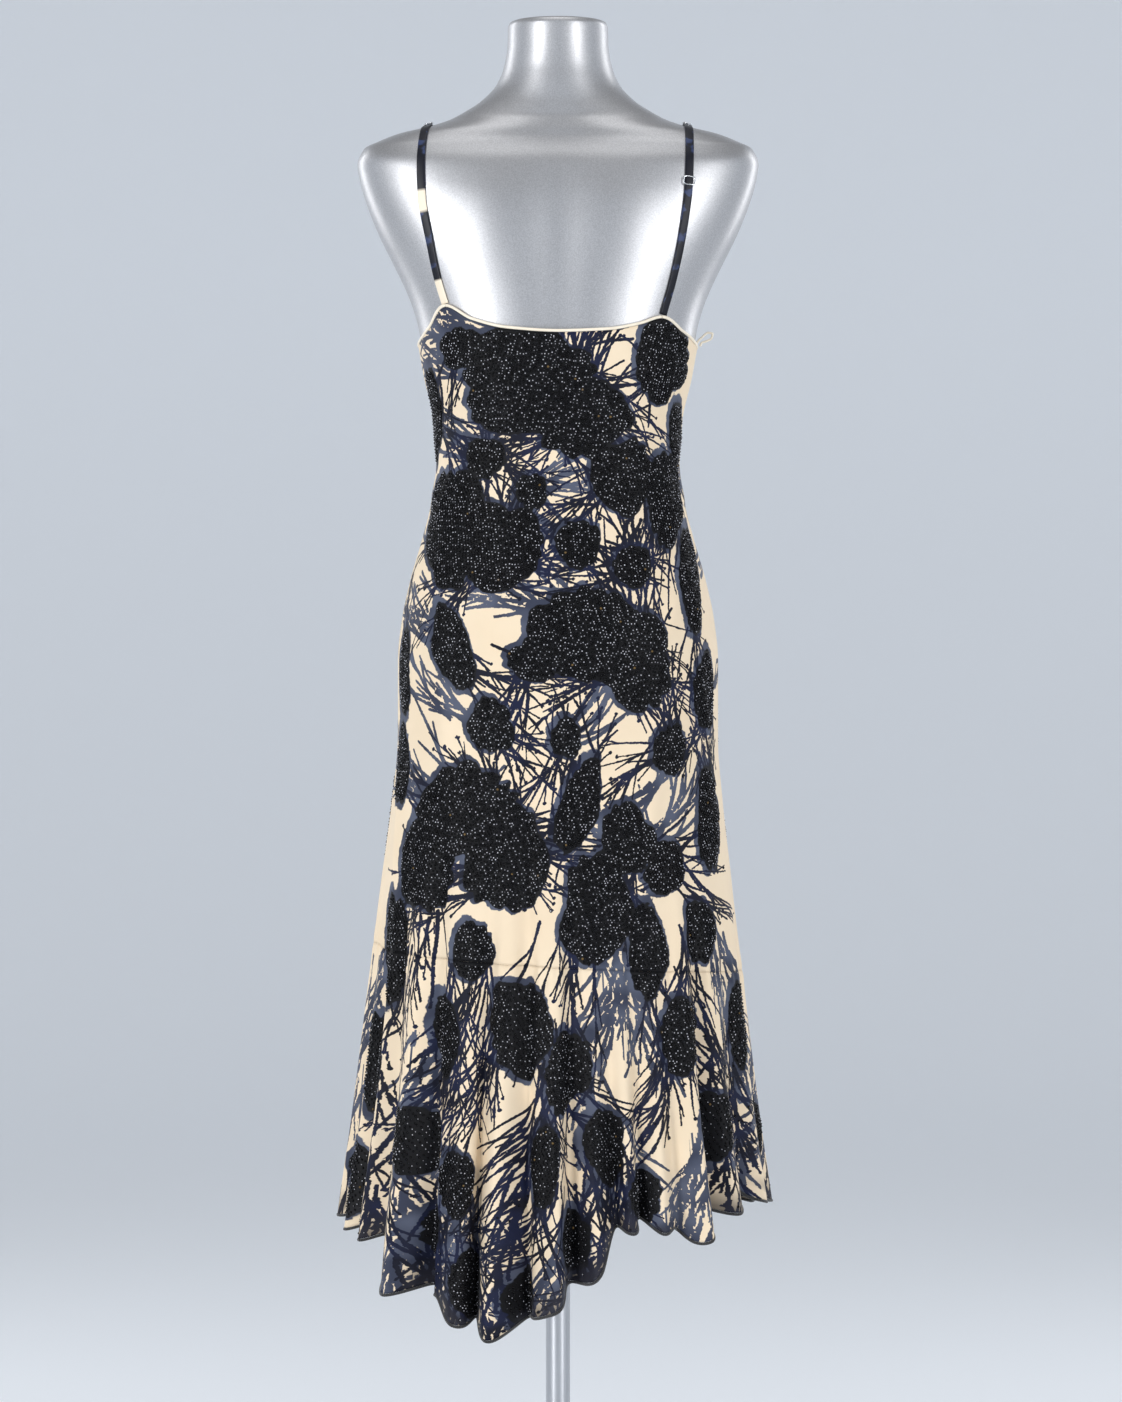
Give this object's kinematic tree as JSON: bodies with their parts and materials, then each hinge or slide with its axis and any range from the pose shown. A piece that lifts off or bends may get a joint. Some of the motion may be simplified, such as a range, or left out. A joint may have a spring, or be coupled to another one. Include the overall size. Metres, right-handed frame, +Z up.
{
  "type": "slip dress on dress form",
  "caption": "Printed and beaded slip dress with thin straps and a fluted, dipping flounce, worn by a limbless dress form on a pole and round base.",
  "frame": {"origin": "centre of the base's underside, on the floor", "axes": "+Z up; -Y the wearer's back, +Y the front; +X the wearer's right"},
  "size_m": [0.4341, 0.3546, 1.595],
  "materials": {
    "printed_silk": "silk georgette printed with dark blossoms and navy twigs, sewn over with small black beads",
    "cream_silk": "plain cream silk, folded into narrow binding and ribbon",
    "navy_silk": "navy satin tube, printed with cream in places",
    "hem_thread": "dark overlocking thread over a rolled edge",
    "strap_metal": "small plated wire fittings",
    "form_paint": "satin metallic silver lacquer on a moulded shell",
    "stand_metal": "satin silver steel tube and plate"
  },
  "bodies": {
    "root": {"form_torso": "form_paint", "form_socket": "stand_metal", "form_pole": "stand_metal", "form_base": "stand_metal", "back_body": "printed_silk", "front_body": "printed_silk", "back_flounce": "printed_silk", "front_flounce": "printed_silk", "back_hem_roll": "hem_thread", "front_hem_roll": "hem_thread", "back_neck_binding": "cream_silk", "front_neck_binding": "cream_silk", "armhole_binding_right": "cream_silk", "armhole_binding_left": "cream_silk", "strap_left": "navy_silk", "strap_right": "navy_silk", "hanger_loop": "cream_silk", "strap_ring_left": "strap_metal", "strap_ring_right": "strap_metal", "strap_slider_right": "strap_metal"}
  },
  "joints": []
}
